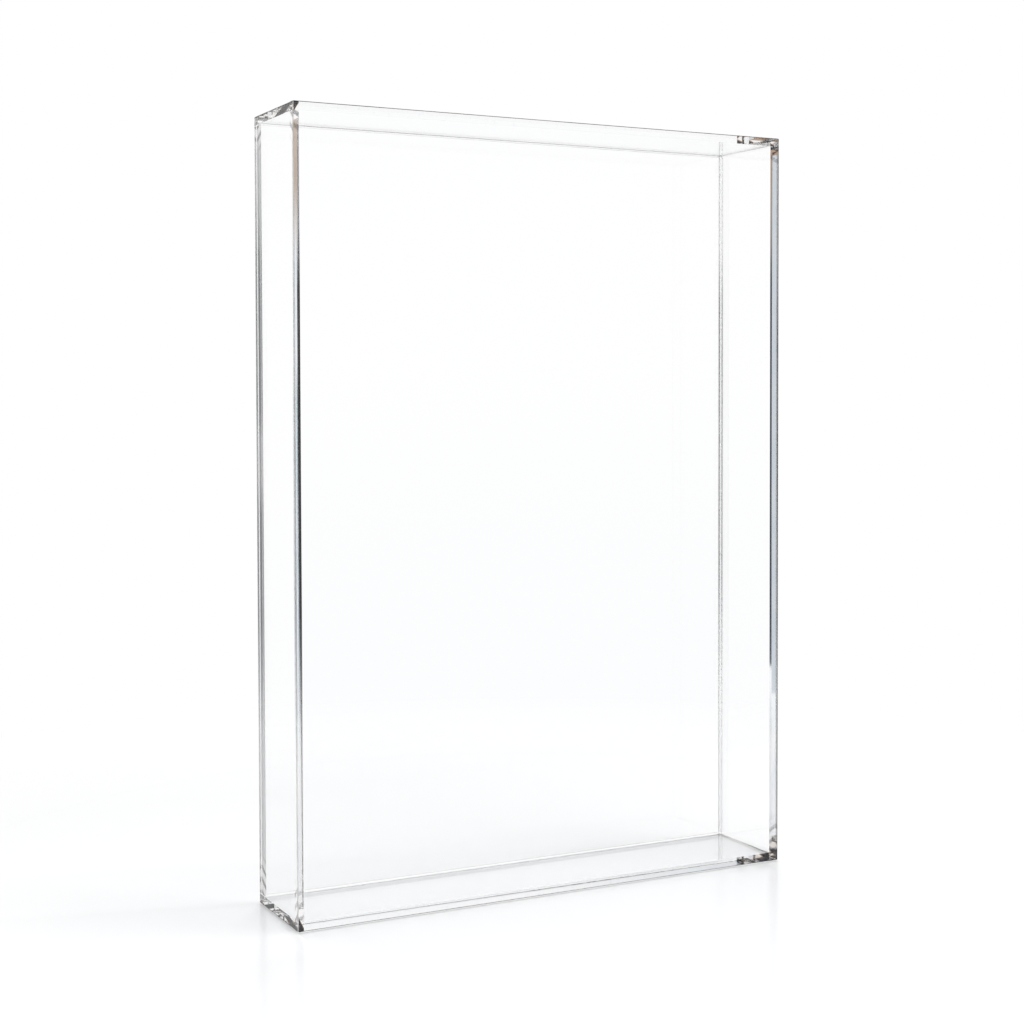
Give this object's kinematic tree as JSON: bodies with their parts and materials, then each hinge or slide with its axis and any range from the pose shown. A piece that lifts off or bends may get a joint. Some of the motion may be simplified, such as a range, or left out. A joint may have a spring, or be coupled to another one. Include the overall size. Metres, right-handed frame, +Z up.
{
  "type": "acrylic block frame",
  "caption": "Clear hollow acrylic block frame that stands upright, with welded front and walls and a thicker back panel that pulls out of the rear.",
  "frame": {"origin": "middle of the face that the frame stands on", "axes": "+Z up along the frame's height, +X along its width to the right seen from the front, +Y to the rear, so the front faces -Y"},
  "size_m": [0.21, 0.042, 0.297],
  "materials": {
    "clear_sheet": "clear cast acrylic, polished faces and edges",
    "clear_back_sheet": "clear cast acrylic, polished faces and edges"
  },
  "bodies": {
    "box": {"front_panel": "clear_sheet", "left_wall": "clear_sheet", "right_wall": "clear_sheet", "top_wall": "clear_sheet", "bottom_wall": "clear_sheet"},
    "back": {"back_panel": "clear_back_sheet"}
  },
  "joints": [
    {"name": "back_pull", "type": "slide", "parent": "box", "child": "back", "axis": [0, 1, 0], "range_m": [0, 0.06]}
  ]
}
